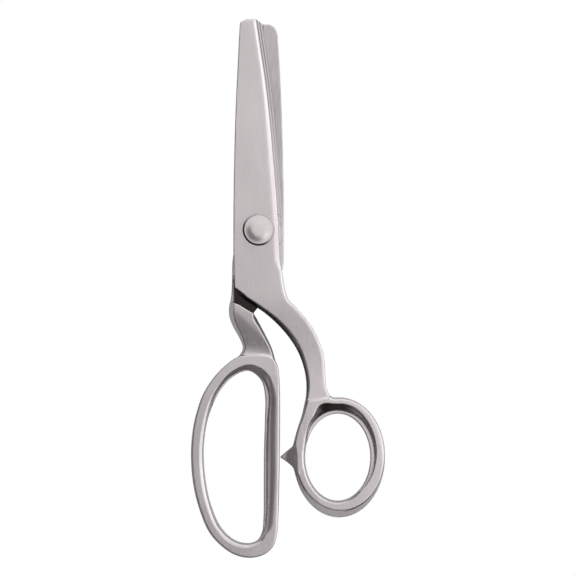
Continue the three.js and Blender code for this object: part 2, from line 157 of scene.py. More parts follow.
UPPER_OUTER_SIDE = [
    (31.5, -73.5), (29.6, -69), (29.1, -64), (28.5, -55.3), (26.3, -48.3), (22.5, -41.3),
    (16.8, -34.4), (13, -30.4), (11.6, -26.5),
]
UPPER_STEP = [(16, -15.7), (-2, -43.8)]
UPPER_RIM_END = [(2, -28), (24, -70)]
LOWER_LEFT_SIDE = [
    (-9.2, -7), (-10.8, -10), (-11.5, -15), (-11.6, -21), (-12, -29), (-13, -34.6), (-12.6, -38.5),
    (-11, -42.6), (-8.2, -47.6), (-6.9, -51.8), (-8.8, -55.5),
]
LOWER_RIGHT_SIDE = [(8.5, -64), (7.7, -60), (7, -56), (5.8, -51.8), (2.4, -44.8), (-1.1, -38.3)]
LOWER_TANG_SIDE = [(-2.3, -36.4), (-0.1, -33.7), (10.6, -17), (11, -13.4)]
LOWER_STEP = [(2, -38.4), (-2.3, -36.2), (-5, -34.7), (-8.1, -32.7), (-12.3, -31), (-18, -30.4)]
LOWER_RAISED_END = [(-18, -75), (16, -75)]
LOWER_FOLD = [(2.7, -47.6), (-10.3, -35.3)]
RECESS_FRONT = [(-18, -22.5), (-8, -22.5), (-3, -28), (1, -31), (3, -34.5)]
# Front of the recess patch that gets painted shade.
SHADED_RECESS_FRONT = [(-18, -20), (-6, -20), (-1, -26), (3, -30), (4, -35.5)]
SPIKE = [
    (18.2, -85), (16.9, -90.4), (15.5, -93.7), (12.9, -96.1), (9.3, -99.2), (12.9, -101.7),
    (15.4, -104.2), (16.7, -107.2),
]
SPIKE_TIP = 4
SPIKE_ROOT = (20, -99)
BOW_OUTSIDE = [
    (-9.4, -55.6), (-17.8, -62.3), (-23.9, -71), (-27.1, -79.7), (-28.9, -88.5),
    (-29.5, -98.9), (-28.5, -111), (-25.8, -122), (-21.6, -131.8), (-16.5, -137.6),
    (-10.5, -141.6), (-3.7, -143), (2.5, -141.5), (6.4, -137.9), (8.1, -132), (8.6, -125),
    (9.1, -104), (9.3, -87), (9.3, -72), (8.9, -63), (8, -58.6), (5.6, -55.6),
    (2, -54.6), (-3.5, -54.5),
]
BOW_HOLE = [
    (-5.3, -61.5), (-12, -64.7), (-17.3, -71), (-20.6, -78), (-22.8, -85.5), (-24, -97),
    (-22.9, -111), (-20.3, -121.5), (-16.3, -130), (-10.8, -135.2), (-5.2, -136.8),
    (-0.9, -135.7), (1.4, -132), (2.1, -125), (2.2, -111), (2.3, -97), (2.7, -83),
    (2.8, -73), (1.4, -66.3), (-2, -62.6),
]
BOW_HOLE_TOP = [
    (-5, -59), (-12.5, -62.5), (-18.2, -69.5), (-21.7, -77), (-24.1, -85.5), (-25.4, -97),
    (-24.4, -111), (-21.7, -121.8), (-17.4, -131), (-11.4, -136.4), (-5, -138),
    (0.8, -136.8), (3.9, -132.5), (5.2, -125), (6, -111), (6.2, -97), (6.4, -83),
    (6.3, -72), (4.6, -64.3), (0.5, -60.3),
]
# Ellipses: centre x, centre y, half width, half height.
RING_OUTSIDE = (35.1, -99.3, 20.0, 26.2)
RING_OUTSIDE_TOP = (35.5, -97.8, 19.6, 24.5)
RING_FACE_LEFT = 16.8
RING_HOLE = (34.5, -99.2, 14.2, 19.0)
RING_HOLE_TOP = (35.1, -97.0, 16.5, 21.1)
# The thumb hole's upper left corner: a circle's centre x, centre y and radius.
RING_CORNER = (28.6, -79, 2.9)
RING_CREASE = [(30.3, -73.0), (23.3, -74.2)]
# Middle and reach that light and shade round the ring are measured by: its face, and its hole.
RING_FACE_MIDDLE, RING_FACE_REACH = (35, -98), (20, 26)
RING_HOLE_MIDDLE, RING_HOLE_REACH = (34.6, -99.2), (14, 19)


# ---- curves ---------------------------------------------------------------------------
def smooth(points, closed=False, spacing=0.5):
    """Points along a centripetal Catmull-Rom curve through the given points."""
    p = [np.array(q, float) for q in points]
    if closed:
        p = [p[-1]] + p + [p[0], p[1]]
    else:
        p = [2 * p[0] - p[1]] + p + [2 * p[-1] - p[-2]]
    out = []
    for a, b, c, d in zip(p, p[1:], p[2:], p[3:]):
        t1 = np.linalg.norm(b - a) ** 0.5
        t2 = t1 + np.linalg.norm(c - b) ** 0.5
        t3 = t2 + np.linalg.norm(d - c) ** 0.5
        steps = max(2, int(np.linalg.norm(c - b) / spacing))
        t = np.linspace(t1, t2, steps, endpoint=False)[:, None]
        ab = (t1 - t) / t1 * a + t / t1 * b
        bc = (t2 - t) / (t2 - t1) * b + (t - t1) / (t2 - t1) * c
        cd = (t3 - t) / (t3 - t2) * c + (t - t2) / (t3 - t2) * d
        abc = (t2 - t) / t2 * ab + t / t2 * bc
        bcd = (t3 - t) / (t3 - t1) * bc + (t - t1) / (t3 - t1) * cd
        out.append((t2 - t) / (t2 - t1) * abc + (t - t1) / (t2 - t1) * bcd)
    if not closed:
        out.append(p[-2][None])
    return np.concatenate(out)


def ellipse(shape, steps=360):
    """Outline of an ellipse given as centre x, centre y, half width, half height."""
    x, y, half_width, half_height = shape
    angle = np.linspace(0, 2 * np.pi, steps, endpoint=False)
    return np.stack([x + half_width * np.cos(angle), y + half_height * np.sin(angle)], 1)


def grown(shape, by):
    """An ellipse's four numbers, with both half sizes grown."""
    x, y, half_width, half_height = shape
    return x, y, half_width + by, half_height + by


def shifted(line, distance):
    """An open line moved to its left by a distance."""
    along = np.gradient(line, axis=0)
    along /= np.linalg.norm(along, axis=1)[:, None]
    return line + distance * np.stack([-along[:, 1], along[:, 0]], 1)


EDGE_CURVE = smooth(EDGE_LINE)


def edge_x(y):
    """x of the cutting bevel's outer edge at a distance y from the pivot."""
    order = np.argsort(EDGE_CURVE[:, 1])
    inside = np.interp(y, EDGE_CURVE[order, 1], EDGE_CURVE[order, 0])
    slope = (EDGE_LINE[-1][0] - EDGE_LINE[-2][0]) / (EDGE_LINE[-1][1] - EDGE_LINE[-2][1])
    return inside + slope * np.maximum(y - UPPER_TIP, 0)


# ---- solids as distance fields on a grid --------------------------------------------------
class Grid:
    """A regular grid, and fields of signed distance on it, negative inside."""

    def __init__(self, low, high, step):
        self.step = step
        self.low = np.array(low, float)
        axes = [np.arange(lo, hi + step, step, dtype=np.float32) for lo, hi in zip(low, high)]
        self.x, self.y, self.z = axes
        self.X = self.x[:, None, None]
        self.Y = self.y[None, :, None]
        self.Z = self.z[None, None, :]

    def window(self, axis, low, high):
        """The part of an axis between two places."""
        first = int((low - axis[0]) / self.step)
        last = int((high - axis[0]) / self.step) + 2
        return slice(max(first, 0), max(last, 0))

    def outline(self, points, reach=9.0):
        """Distance to a closed outline, true up to the reach, the same at every z."""
        squared = np.full((len(self.x), len(self.y)), reach * reach, np.float32)
        crossings = np.zeros((len(self.x) + 1, len(self.y)), np.int32)
        for (x0, y0), (x1, y1) in zip(points, np.roll(points, -1, 0)):
            i = self.window(self.x, min(x0, x1) - reach, max(x0, x1) + reach)
            j = self.window(self.y, min(y0, y1) - reach, max(y0, y1) + reach)
            px = self.x[i, None] - x0
            py = self.y[None, j] - y0
            dx, dy = x1 - x0, y1 - y0
            t = np.clip((px * dx + py * dy) / max(dx * dx + dy * dy, 1e-9), 0, 1)
            near = (px - t * dx) ** 2 + (py - t * dy) ** 2
            np.minimum(squared[i, j], near, out=squared[i, j])
            rows = np.nonzero((self.y > min(y0, y1)) & (self.y <= max(y0, y1)))[0]
            if len(rows):
                cross = x0 + (self.y[rows] - y0) * dx / dy
                column = np.ceil((cross - self.x[0]) / self.step).astype(int)
                np.add.at(crossings, (np.clip(column, 0, len(self.x)), rows), 1)
        inside = np.cumsum(crossings, 0)[:-1] % 2 == 1
        return (np.sqrt(squared) * np.where(inside, -1, 1)).astype(np.float32)[:, :, None]


def rounded_min(a, b, blend):
    """Both solids joined, with a fillet."""
    overlap = np.maximum(blend - np.abs(a - b), 0)
    return np.minimum(a, b) - overlap * overlap / (4 * blend)


def rounded_max(a, b, blend):
    """What two solids share, with a rounded edge."""
    overlap = np.maximum(blend - np.abs(a - b), 0)
    return np.maximum(a, b) + overlap * overlap / (4 * blend)


def ramp(value, low, high):
    """0 below low, 1 above high, with smooth ends."""
    t = np.clip((value - low) / (high - low), 0, 1)
    return t * t * (3 - 2 * t)


def between_levels(z, levels):
    """Field that changes with height through the given (z, field) levels."""
    field = levels[0][1]
    for (z0, _), (z1, above) in zip(levels, levels[1:]):
        t = np.clip((z - z0) / (z1 - z0), 0, 1)
        field = field * (1 - t) + above * t
    return field


def line_side(X, Y, a, b):
    """Distance from the line a to b, positive on its left."""
    (ax, ay), (bx, by) = a, b
    length = math.hypot(bx - ax, by - ay)
    return ((bx - ax) * (Y - ay) - (by - ay) * (X - ax)) / length


def along_shank(g, distances, heights):
    """A height that changes with the distance down the shank."""
    return np.interp(-g.y, distances, heights).astype(np.float32)[None, :, None]


def towards_side(X, Y, middle, reach, side):
    """How far a place lies from the middle towards a side, about 1 at the reach."""
    return (X - middle[0]) / reach[0] * side[0] + (Y - middle[1]) / reach[1] * side[1]


def chamfer_inside(body, Z, mouth, top, width, slope=0.45):
    """Grind the face down in a band of the given width, which may vary, round a hole's mouth."""
    drop = slope * np.maximum(width - mouth, 0)
    plane = (Z - top + drop) / math.hypot(1, slope) + NO_CUT * (mouth > width)
    return np.maximum(body, np.where(width > 0.02, plane, NO_CUT))


def cut_hole(body, Z, foot, waist, shelf_level, shelf, mouth, top, blend):
    """Cut a finger hole: flared at the foot, straight at the waist, a shelf, then the upper wall."""
    flare_top = REST_LEVEL + HOLE_FLARE_HEIGHT
    low = between_levels(Z, [(REST_LEVEL, foot), (flare_top, waist), (top, waist)])
    high = between_levels(Z, [(shelf_level, shelf), (top, mouth)])
    high = rounded_max(high, shelf_level - Z, 0.25)
    body = rounded_max(body, -high, blend)
    return rounded_max(body, -low, 0.4)


# ---- the two halves --------------------------------------------------------------------------
def blade_outline(corner):
    """Edge, then tip and spine, of a blade in the upper half's position."""
    tip = corner[0][1]
    edge = smooth(EDGE_LINE)
    edge = edge[edge[:, 1] < tip - 0.3]
    spine = smooth([corner[-1]] + SPINE_LINE)
    return edge, np.concatenate([[[edge_x(tip), tip - 0.2]], corner[:-1], spine])


def blade_faces(X, Y, Z, tip):
    """Top, bevel, hollow and strip seat of a blade in the upper half's position."""
    top = BLADE_THICKNESS + (TIP_THICKNESS - BLADE_THICKNESS) * np.clip(Y / UPPER_TIP, 0, 1)
    fade = ramp(Y, BEVEL_END, -12)
    foot = top - BEVEL_DROP * fade
    slope = BEVEL_DROP / (BEVEL_WIDTH + (TIP_BEVEL_WIDTH - BEVEL_WIDTH) * ramp(Y, 20, UPPER_TIP))
    edge = edge_x(Y)
    bevel = (Z - foot + (X - edge) * slope) / np.sqrt(1 + slope * slope)
    bevel = bevel - FAR * ramp(-Y, 21, 27)
    end = (Z - top + (Y - tip + TIP_CHAMFER) * TIP_SLOPE) / math.hypot(1, TIP_SLOPE)
    bevel = rounded_max(bevel, end, 0.2)
    away = np.hypot(X, Y)
    start = HOLLOW_START - FAR * ramp(-X, 9.3, 9.8)
    hollow = np.maximum(np.maximum(start - Y, RIDE_RADIUS - away), Z - HOLLOW_DEPTH)
    seat_back = edge + STRIP_LEDGE - STRIP_WIDTH - FIT_GAP + STRIP_TIP_NARROWING * ramp(away, 74, 84)
    seat = np.maximum(np.maximum(HOLLOW_START - Y, STRIP_FIRST_RADIUS - 0.3 - away), seat_back - X)
    seat = np.maximum(seat, Z - STRIP_TOP - FIT_GAP)
    return bevel, hollow, seat, top


def pivot_holes(X, Y, Z):
    """The screw's hole and the pocket for half the bearing washer."""
    away = np.hypot(X, Y)
    pocket = np.maximum(away - BEARING_RADIUS - FIT_GAP, np.abs(Z) - BEARING_THICKNESS / 2 - FIT_GAP)
    return np.minimum(pocket, away - SCREW_RADIUS - 0.08)


def upper_outline(inward):
    """The upper half without its ring; the inner side moves in for the top face."""
    edge, tip = blade_outline(UPPER_CORNER)
    inner = smooth(UPPER_INNER_SIDE)
    down = -inner[:, 1]
    wide = 0.6 * ramp(down, 24, 29) + 0.4 * ramp(down, 34, 52) - 0.65 * ramp(down, 66, 78)
    inner = shifted(inner, inward * wide[:, None])
    return np.concatenate([
        edge, tip, smooth(UPPER_TANG_SIDE)[1:-1], inner, [[18, -97], [34, -90]],
        smooth(UPPER_OUTER_SIDE)[:-1],
    ])


def upper_blade_and_shank(X, Y, Z, base, side, belly, crease):
    """Blade, tang and shank with their top faces, hollow, strip seat and bent belly."""
    bevel, hollow, seat, top = blade_faces(X, Y, Z, UPPER_TIP)
    shank_top = top - 2.1 * ramp(-Y, 26, 64) + 0.25 * ramp(-Y, 64, 76)
    shank_top = shank_top - 1.5 * ramp(crease, 0.5, 4)
    body = rounded_max(side, Z - shank_top, 0.12 + 0.25 * ramp(-Y, 24, 34))
    body = rounded_max(body, bevel, 0.2 + 0.2 * ramp(Y, 20, 80))
    width = RIM_WIDTH * (1.7 - 0.7 * ramp(-Y, 26, 38)) * ramp(-Y, 14, 22)
    width = width * ramp(line_side(X, Y, *UPPER_RIM_END), 0, 1)
    rim = (Z - shank_top + (base + width) * RIM_SLOPE) / math.hypot(1, RIM_SLOPE)
    body = rounded_max(body, rim, 0.3)
    deep = rounded_max(-line_side(X, Y, *UPPER_STEP), belly - Z, 0.8)
    body = rounded_max(body, np.minimum(HALF_GAP - Z, deep), 0.3)
    body = rounded_max(body, -hollow, 0.15)
    return rounded_max(body, -seat, 0.1)


def bevel_ledge(X, Y, Z):
    """The ledge that carries the strip's outer one on past the screw, narrowing to nothing."""
    edge = edge_x(Y)
    ledge = np.maximum(X - edge - STRIP_LEDGE * ramp(Y, -23, -2), edge - 3 - X)
    ledge = np.maximum(ledge, np.hypot(X, Y) - STRIP_FIRST_RADIUS)
    ledge = rounded_max(ledge, Z - STRIP_TOP + 0.2 * np.clip((X - edge) / 1.5, 0, 1), 0.2)
    return np.maximum(np.maximum(ledge, HALF_GAP - Z), -Y - 24)


def thumb_ring(g, root, ring_top):
    """The ring without its hole, growing out of the shank; its upper right edge is well rounded."""
    X, Y, Z = g.X, g.Y, g.Z
    full = g.outline(ellipse(RING_OUTSIDE))
    face = rounded_max(g.outline(ellipse(RING_OUTSIDE_TOP)), RING_FACE_LEFT - X, 0.5)
    outside = between_levels(Z, [
        (REST_LEVEL, g.outline(ellipse(grown(RING_OUTSIDE, -FOOT_INSET)))),
        (REST_LEVEL + FOOT_HEIGHT, full), (-2.2, full), (RING_TOP, face),
    ])
    outside = rounded_min(outside, root, 2.5)
    upper_right = ramp(towards_side(X, Y, RING_FACE_MIDDLE, RING_FACE_REACH, (0.6, 0.8)), 0.1, 0.8)
    ring = rounded_max(outside, Z - ring_top, 0.3 + 1.6 * upper_right)
    return rounded_max(ring, REST_LEVEL - Z, FOOT_ROUNDING)


def stop_spike(g):
    """The pointed stop on the ring's left; its top climbs from a low tip."""
    X, Y, Z = g.X, g.Y, g.Z
    tip_x, tip_y = SPIKE[SPIKE_TIP]
    top = SPIKE_TIP_TOP + (X - tip_x) * SPIKE_SLOPE - 0.05 * np.abs(Y - tip_y)
    top = np.minimum(top, RING_TOP - 0.7)
    line = np.concatenate([smooth(SPIKE[:SPIKE_TIP + 1]), smooth(SPIKE[SPIKE_TIP:]), [SPIKE_ROOT]])
    spike = rounded_max(g.outline(line), Z - top, 0.3)
    return rounded_max(spike, SPIKE_BOTTOM - Z, 0.8)


def cut_thumb_hole(g, body, ring_top):
    """The thumb hole: a shelf and a flared wall at its upper right, a narrow chamfer opposite."""
    X, Y, Z = g.X, g.Y, g.Z
    waist = g.outline(ellipse(RING_HOLE))
    corner_x, corner_y, corner_radius = RING_CORNER
    corner = np.hypot(X - corner_x, Y - corner_y) - corner_radius
    mouth = rounded_min(g.outline(ellipse(RING_HOLE_TOP)), corner, 4.0)
    flared = ramp(towards_side(X, Y, RING_HOLE_MIDDLE, RING_HOLE_REACH, (0.6, 0.8)), -0.5, 0.2)
    mouth = mouth * flared + (waist - 0.6) * (1 - flared) + 0.5 * ramp(X, 40, 48)
    lower_left = towards_side(X, Y, RING_HOLE_MIDDLE, RING_HOLE_REACH, (-0.75, -0.65))
    chamfer = ramp(lower_left, -0.35, 0.35) * ramp(-Y, 80, 90)
    body = chamfer_inside(body, Z, mouth, ring_top, 0.65 * chamfer)
    foot = g.outline(ellipse(grown(RING_HOLE, HOLE_FLARE)))
    shelf = waist - (1.5 + 0.6 * ramp(X, 37, 46)) * flared
    return cut_hole(body, Z, foot, waist, RING_SHELF, shelf, mouth, RING_TOP, 0.4)


def upper_half_field(g):
    """The front half: blade, shank, thumb ring and stop spike in one piece."""
    X, Y, Z = g.X, g.Y, g.Z
    base = g.outline(upper_outline(0))
    side = between_levels(Z, [
        (BELLY_LEVEL, g.outline(upper_outline(0.9))), (-3, base), (0.4, base),
        (3.1, g.outline(upper_outline(2.2))),
    ])
    belly = along_shank(g, [15, 40, 74], [-1, -5, BELLY_LEVEL])
    crease = line_side(X, Y, *RING_CREASE)
    body = upper_blade_and_shank(X, Y, Z, base, side, belly, crease)
    body = np.minimum(body, bevel_ledge(X, Y, Z))

    root = np.maximum(rounded_max(side, -crease, 0.3), belly - Z)
    ring_top = RING_TOP - 0.03 * np.maximum(26 - X, 0) * ramp(-Y, 78, 90)
    body = rounded_min(body, thumb_ring(g, root, ring_top), 0.6)
    body = rounded_min(body, stop_spike(g), 0.9)
    body = cut_thumb_hole(g, body, ring_top)
    return rounded_max(body, -pivot_holes(X, Y, Z), 0.1)


def lower_outline(left_in, right_in):
    """The lower half without its bow; both sides of the shank move in for its top face."""
    edge, tip = blade_outline(LOWER_CORNER)
    blade = np.concatenate([edge[edge[:, 1] > -6], tip]) * (-1, 1)
    left = smooth(LOWER_LEFT_SIDE)
    left = shifted(left, left_in * np.clip((-left[:, 1] - 27) / 6, 0, 1)[:, None])
    right = shifted(smooth(LOWER_RIGHT_SIDE), right_in)
    return np.concatenate([blade[::-1], left, [[-6, -60], [4, -63]], right, LOWER_TANG_SIDE])


def lower_blade_and_shank(g):
    """Blade, tang and raised shank, with the recess behind the crossing."""
    X, Y, Z = g.X, g.Y, g.Z
    base = g.outline(lower_outline(0, 0))
    side = between_levels(Z, [
        (REST_LEVEL, g.outline(lower_outline(1, 0.7))), (-5, base), (-0.5, base),
        (2.8, g.outline(lower_outline(1.7, 0.9))), (SHANK_TOP, g.outline(lower_outline(2.1, 1.6))),
    ])
    bevel, hollow, seat, top = blade_faces(-X, Y, -Z, LOWER_TIP)
    bevel = np.where(Y > -9, bevel, NO_CUT)
    belly = along_shank(g, [26, 58], [-BLADE_THICKNESS, BELLY_LEVEL])
    under = np.where(Y > -20, -top, belly)
    body = rounded_max(side, under - Z, 0.35)
    body = rounded_max(body, bevel, 0.12)

    drop = 1.5 * ramp(-Y, 33, 57)
    fold = line_side(X, Y, *LOWER_FOLD)
    shank_top = SHANK_TOP - drop - 0.05 * (fold + np.hypot(fold, 1.0)) * ramp(Y, -60, -50)
    behind_step = g.outline(np.array(LOWER_STEP + LOWER_RAISED_END))
    raised = rounded_max(Z - shank_top, behind_step, 0.5)
    body = rounded_max(body, np.minimum(Z + HALF_GAP, raised), 0.2)
    recess = g.outline(np.array(LOWER_STEP + RECESS_FRONT))
    body = rounded_max(body, -np.maximum(recess, RECESS_FLOOR - Z), 0.3)
    body = rounded_max(body, -hollow, 0.15)
    return rounded_max(body, -seat, 0.1)


def finger_bow(g, left, right):
    """The bow without its hole; its long sides have the rounder top edges."""
    outside = g.outline(smooth(BOW_OUTSIDE, closed=True))
    wall = between_levels(g.Z, [
        (REST_LEVEL, outside + FOOT_INSET), (REST_LEVEL + FOOT_HEIGHT, outside), (BOW_TOP, outside),
    ])
    bow = rounded_max(wall, g.Z - BOW_TOP, 0.7 + 0.3 * left + 0.3 * right)
    return rounded_max(bow, REST_LEVEL - g.Z, FOOT_ROUNDING)


def cut_finger_hole(g, body, left, right):
    """The finger hole: a shelf on its right and at its top, a chamfer on its left and bottom."""
    X, Y, Z = g.X, g.Y, g.Z
    bottom = ramp(-Y, 126, 134)
    waist = g.outline(smooth(BOW_HOLE, closed=True))
    mouth = g.outline(smooth(BOW_HOLE_TOP, closed=True))
    mouth = mouth + 1.2 * right + 0.9 * left + 0.7 * bottom * (1 - right) * (1 - left)
    mouth = mouth + 0.9 * ramp(X, -5, 0) * bottom * (1 - right)
    chamfer = ramp(-X, 9, 18) * ramp(-Y, 64, 76) * (0.6 + 0.4 * left)
    chamfer = np.maximum(chamfer, bottom * (1 - right))
    body = chamfer_inside(body, Z, mouth, BOW_TOP, 1.3 * chamfer)
    shelf = waist - 1.3 * right - 0.8 * ramp(Y, -84, -70)
    return cut_hole(body, Z, waist - HOLE_FLARE, waist, BOW_SHELF, shelf, mouth, BOW_TOP,
                    0.3 + 2.6 * right)


def lower_half_field(g):
    """The rear half: blade, shank and finger bow in one piece."""
    X, Y, Z = g.X, g.Y, g.Z
    left = ramp(-X, 12, 25) * ramp(-Y, 64, 90)
    right = ramp(X, -5, 1) * ramp(-Y, 62, 74) * ramp(Y, -137, -128)
    body = rounded_min(lower_blade_and_shank(g), finger_bow(g, left, right), 0.6)
    body = cut_finger_hole(g, body, left, right)
    return rounded_max(body, -pivot_holes(X, Y, Z), 0.1)


# ---- from a field to a mesh ----------------------------------------------------------------
def sample(field, places):
    """Field values between the grid's points, by straight interpolation."""
    shape = np.array(field.shape)
    places = np.clip(places, 0, shape - 1.001)
    low = places.astype(int)
    part = places - low
    flat = field.reshape(-1)
    total = 0
    for corner in range(8):
        pick = np.array([corner >> 2 & 1, corner >> 1 & 1, corner & 1])
        weight = np.prod(np.where(pick, part, 1 - part), axis=1)
        i, j, k = (low + pick).T
        total = total + weight * flat[(i * shape[1] + j) * shape[2] + k]
    return total


def slope_at(field, places):
    """The field's slope along each axis, over one grid step."""
    half = 0.5
    return np.stack([
        sample(field, places + offset) - sample(field, places - offset)
        for offset in np.eye(3) * half
    ], 1)


CELL_CORNERS = [(i, j, k) for i in (0, 1) for j in (0, 1) for k in (0, 1)]


def crossed_cells(inside):
    """The grid cells that the surface runs through, and a grid of their numbers, -1 elsewhere."""
    cell_shape = np.array(inside.shape) - 1
    count = sum(
        inside[tuple(slice(c, c + n) for c, n in zip(corner, cell_shape))].astype(np.int8)
        for corner in CELL_CORNERS
    )
    cells = np.argwhere((count > 0) & (count < 8))
    numbers = np.full(cell_shape, -1, np.int64)
    numbers[tuple(cells.T)] = np.arange(len(cells))
    return cells, numbers


def surface_places(field, cells, step):
    """A point in each cell: the mean of its edges' crossings, then moved onto the zero level."""
    total = np.zeros((len(cells), 3))
    hits = np.zeros(len(cells))
    for a in CELL_CORNERS:
        for axis in range(3):
            if a[axis]:
                continue
            b = np.array(a) + np.eye(3, dtype=int)[axis]
            fa = field[tuple((cells + a).T)]
            fb = field[tuple((cells + b).T)]
            crossed = (fa < 0) != (fb < 0)
            t = np.where(crossed, fa / np.where(fa == fb, 1, fa - fb), 0)
            total += crossed[:, None] * (np.array(a) + t[:, None] * np.eye(3)[axis])
            hits += crossed
    places = cells + total / hits[:, None]
    for _ in range(2):
        slope = slope_at(field, places)
        length2 = np.maximum((slope ** 2).sum(1), 0.2 * step ** 2)
        places -= np.clip(sample(field, places) / length2, -1, 1)[:, None] * slope
    return places


def surface_quads(inside, numbers):
    """A quad of four cells round each grid edge that the surface crosses, facing outwards."""
    quads = []
    for axis in range(3):
        u, v = (axis + 1) % 3, (axis + 2) % 3
        low = tuple(slice(0, -1) if d == axis else slice(1, -1) for d in range(3))
        high = tuple(slice(1, None) if d == axis else slice(1, -1) for d in range(3))
        starts = np.argwhere(inside[low] != inside[high])
        starts[:, u] += 1
        starts[:, v] += 1
        eu, ev = np.eye(3, dtype=int)[u], np.eye(3, dtype=int)[v]
        around = (-eu - ev, -ev, 0 * eu, -eu)
        quad = np.stack([numbers[tuple((starts + s).T)] for s in around], 1)
        flip = ~inside[tuple(starts.T)]
        quad[flip] = quad[flip][:, ::-1]
        quads.append(quad)
    return np.concatenate(quads)


def surface_mesh(name, field, grid, painted_shade_of):
    """The field's zero level as a smooth mesh, with its painted shade on each point."""
    inside = field < 0
    cells, numbers = crossed_cells(inside)
    places = surface_places(field, cells, grid.step)
    normals = slope_at(field, places)
    normals /= np.maximum(np.linalg.norm(normals, axis=1), 1e-9)[:, None]
    quads = surface_quads(inside, numbers)
    places = grid.low + places * grid.step
    mesh = bpy.data.meshes.new(name)
    mesh.from_pydata(to_row(places).tolist(), [], quads.tolist())
    mesh.validate()
    mesh.shade_smooth()
    mesh.normals_split_custom_set_from_vertices(normals.tolist())
    # Painted shade, stored on each point.
    painted_shade = mesh.attributes.new(PAINTED_SHADE_ATTRIBUTE, "FLOAT", "POINT")
    painted_shade.data.foreach_set("value", painted_shade_of(places, normals).astype(np.float32))
    piece = bpy.data.objects.new(name, mesh)
    bpy.context.scene.collection.objects.link(piece)
    return piece


def inside_outline(points, outline):
    """Whether each x, y point is inside a closed outline."""
    x, y = points[:, 0], points[:, 1]
    inside = np.zeros(len(points), bool)
    for (x0, y0), (x1, y1) in zip(outline, outline[1:] + outline[:1]):
        crosses = (y0 > y) != (y1 > y)
        at = x0 + (y - y0) * (x1 - x0) / (y1 - y0 if y1 != y0 else 1)
        inside ^= crosses & (x < at)
    return inside


def upper_painted_shade(points, normals):
    """Painted shade: the shank's inner side, the thumb hole's corner, creases, and the spike's tip.
    """
    x, y, z = points.T
    nx, ny, nz = normals.T
    steep = ramp(0.85 - nz, 0, 0.3)
    faces_in = ramp(-nx - 0.6 * ny, 0.1, 0.5)
    shank = 0.85 * faces_in * ramp(y, -95, -50) * ramp(-y, 21, 24)
    away = np.hypot((x - RING_HOLE[0]) / RING_HOLE[2], (y - RING_HOLE[1]) / RING_HOLE[3])
    corner = ramp(-ny - 0.1 * nx, 0.15, 0.5) * ramp(z, RING_SHELF, RING_SHELF + 0.3)
    corner = corner * (away < 1.4) * (y > -104)
    corner = corner * (0.6 + 0.36 * ramp(x, 24, 29) - 0.72 * ramp(x, 37, 46))
    corner = corner * ramp(0.97 - nz, 0, 0.1)
    low_outside = ramp(-y, 98, 106) * (away > 1.25)
    right_inside = ramp(x, 36, 44) * (away < 1.25)
    crease = ramp(z, 1.9, 2.4) * (1 - ramp(z, 2.8, 3.0)) * np.maximum(low_outside, right_inside)
    tip_x, tip_y = SPIKE[SPIKE_TIP]
    spike = 0.25 * ramp(tip_x + 5 - x, 0, 2) * (abs(y - tip_y) < 8)
    sides = np.maximum(shank, crease) * steep
    return np.maximum.reduce([sides, corner, spike, ledge_painted_shade(x, y, z)])


def ledge_painted_shade(x, y, z):
    """Two faint painted shade lines carry on from the strip's down to where the ledge ends."""
    share = ramp(y, -23, -2)
    offset = x - edge_x(y)
    line = sum(ramp(0.4 - np.abs(offset - at * share), 0, 0.3) for at in (0, STRIP_STEP, STRIP_LEDGE))
    return 0.3 * np.minimum(line, 1) * (z < STRIP_TOP + 0.3) * (z > 0.4) * (y < 6) * share


def lower_painted_shade(points, normals):
    """Painted shade: the recess behind the crossing, the finger hole's top, the shank's left edge."""
    x, y, z = points.T
    nx, ny, nz = normals.T
    recess = inside_outline(points, LOWER_STEP + SHADED_RECESS_FRONT)
    recess = recess * ramp(-z, -0.4, 0.1) * ramp(x, -11.6, -10.6) * ramp(nz, -0.6, -0.3)
    corner = ramp(y, -92, -68) * ramp(-ny, 0.2, 0.6) * ramp(0.85 - nz, 0, 0.3)
    corner = corner * (y < -58) * ramp(z, BOW_SHELF, BOW_SHELF + 0.5)
    edge = ramp(nz, 0.5, 0.7) * (1 - ramp(nz, 0.88, 0.97)) * ramp(-nx, 0.2, 0.4)
    edge = edge * ramp(-y, 34, 37) * ramp(y, -56, -53)
    return np.maximum.reduce([recess, 0.6 * corner, 0.5 * edge])


def half_piece(name, node, field_of, painted_shade_of):
    """A half's mesh, on a grid a little larger than its CAD node."""
    low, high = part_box(node)
    low = (np.array(low) - np.array(PIVOT)) / MM - GRID_MARGIN
    high = (np.array(high) - np.array(PIVOT)) / MM + GRID_MARGIN
    grid = Grid(low, high, GRID_STEP)
    field = np.ascontiguousarray(field_of(grid), dtype=np.float32)
    field = np.broadcast_to(field, (len(grid.x), len(grid.y), len(grid.z))).copy()
    return surface_mesh(name, field, grid, painted_shade_of)


# ---- small parts --------------------------------------------------------------------------
def new_piece(name, points, faces, bevel=0.0, painted_shade=None):
    """A mesh piece from points in mm about the pivot, with its sharp edges rounded off."""
    mesh = bpy.data.meshes.new(name)
    mesh.from_pydata(to_row(points).tolist(), [], [list(f) for f in faces])
    # Painted shade on each point, where it is given.
    if painted_shade is not None:
        mesh.attributes.new(PAINTED_SHADE_ATTRIBUTE, "FLOAT", "POINT").data.foreach_set("value", painted_shade)
    work = bmesh.new()
    work.from_mesh(mesh)
    bmesh.ops.remove_doubles(work, verts=work.verts, dist=WELD_DISTANCE)
    bmesh.ops.recalc_face_normals(work, faces=work.faces)
    if work.calc_volume(signed=True) < 0:
        bmesh.ops.reverse_faces(work, faces=work.faces)
    work.to_mesh(mesh)
    work.free()
    piece = bpy.data.objects.new(name, mesh)
    bpy.context.scene.collection.objects.link(piece)
    if bevel:
        mesh.shade_smooth()
        rounder = piece.modifiers.new("rounded_edges", "BEVEL")
        rounder.width = bevel * MM
        rounder.segments = 2
        rounder.limit_method = "ANGLE"
        rounder.angle_limit = math.radians(25)
        rounder.harden_normals = True
    return piece


